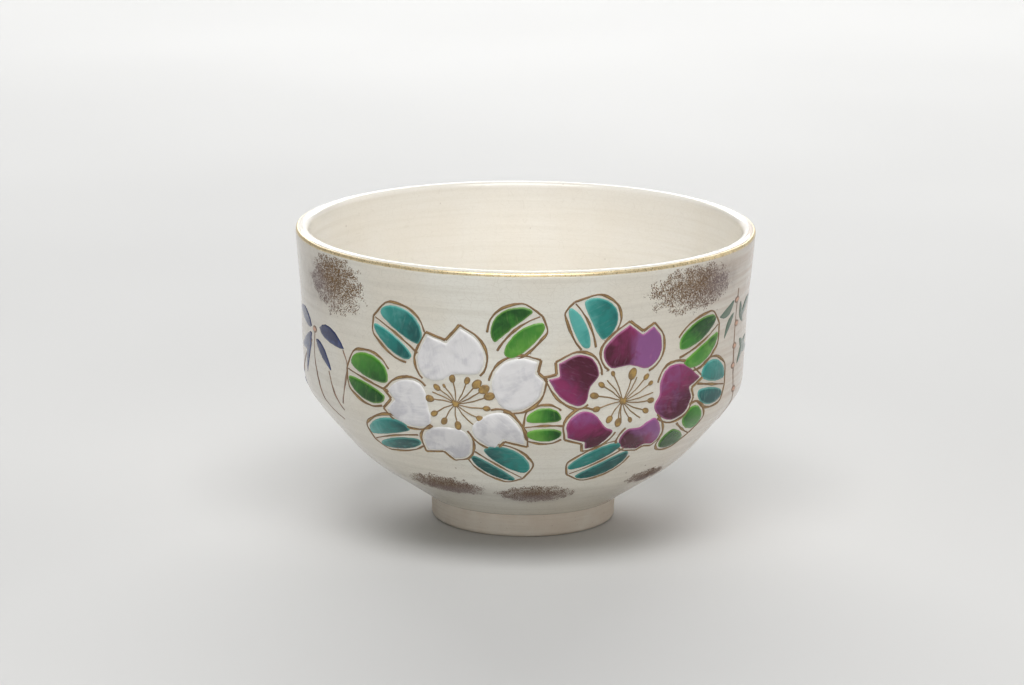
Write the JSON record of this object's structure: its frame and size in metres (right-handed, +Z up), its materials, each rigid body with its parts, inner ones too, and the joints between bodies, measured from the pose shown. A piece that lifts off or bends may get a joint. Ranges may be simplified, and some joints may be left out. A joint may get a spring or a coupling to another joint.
{
  "type": "matcha bowl",
  "caption": "Cream-glazed matcha tea bowl with upright walls, a low foot ring, raised enamel flowers and leaves, and a gold lip.",
  "frame": {"origin": "middle of the foot ring's flat underside, where the bowl stands", "axes": "+Z up along the bowl's turning axis, the painted front faces -Y, +X to the right of the front"},
  "size_m": [0.1202, 0.1202, 0.0782],
  "materials": {
    "clay": "bare fired clay, matte",
    "glaze": "glossy cream glaze with fine texture",
    "rim_gold": "fired gold, satin",
    "painted_gold": "fired gold line, satin brown",
    "gold_dust": "dusted gold, matte",
    "brown_line": "thin brown overglaze line",
    "white_enamel": "raised white enamel, glossy",
    "purple_enamel": "raised plum enamel, glossy",
    "green_enamel": "raised green enamel, glossy",
    "teal_enamel": "raised teal enamel, glossy",
    "blue_enamel": "thin slate-blue enamel",
    "grey_enamel": "thin grey-green enamel"
  },
  "bodies": {
    "root": {"clay_body": "clay", "foot_ring": "clay", "outer_glaze": "glaze", "inner_glaze": "glaze", "rim_gold_band": "rim_gold", "white_petal_top": "white_enamel", "white_petal_right": "white_enamel", "white_petal_low_right": "white_enamel", "white_petal_bottom": "white_enamel", "white_petal_left": "white_enamel", "purple_petal_top": "purple_enamel", "purple_petal_right": "purple_enamel", "purple_petal_low_right": "purple_enamel", "purple_petal_low_left": "purple_enamel", "purple_petal_left": "purple_enamel", "green_leaf_left": "green_enamel", "green_leaf_top": "green_enamel", "green_leaf_middle": "green_enamel", "green_leaf_upper_right": "green_enamel", "green_leaf_low_right": "green_enamel", "teal_leaf_upper_left": "teal_enamel", "teal_leaf_low_left": "teal_enamel", "teal_leaf_top": "teal_enamel", "teal_leaf_bottom": "teal_enamel", "teal_leaf_low_middle": "teal_enamel", "teal_leaf_right": "teal_enamel", "white_flower_outline": "painted_gold", "white_flower_stamens": "painted_gold", "purple_flower_outline": "painted_gold", "purple_flower_stamens": "painted_gold", "green_leaf_outlines": "painted_gold", "teal_leaf_outlines": "painted_gold", "gold_dust_upper_left": "gold_dust", "gold_dust_upper_right": "gold_dust", "gold_dust_low_left": "gold_dust", "gold_dust_low_middle": "gold_dust", "gold_dust_low_right": "gold_dust", "blue_bamboo_leaves": "blue_enamel", "grey_bamboo_leaves": "grey_enamel", "blue_bamboo_stems": "brown_line", "grey_bamboo_stem": "brown_line"}
  },
  "joints": []
}
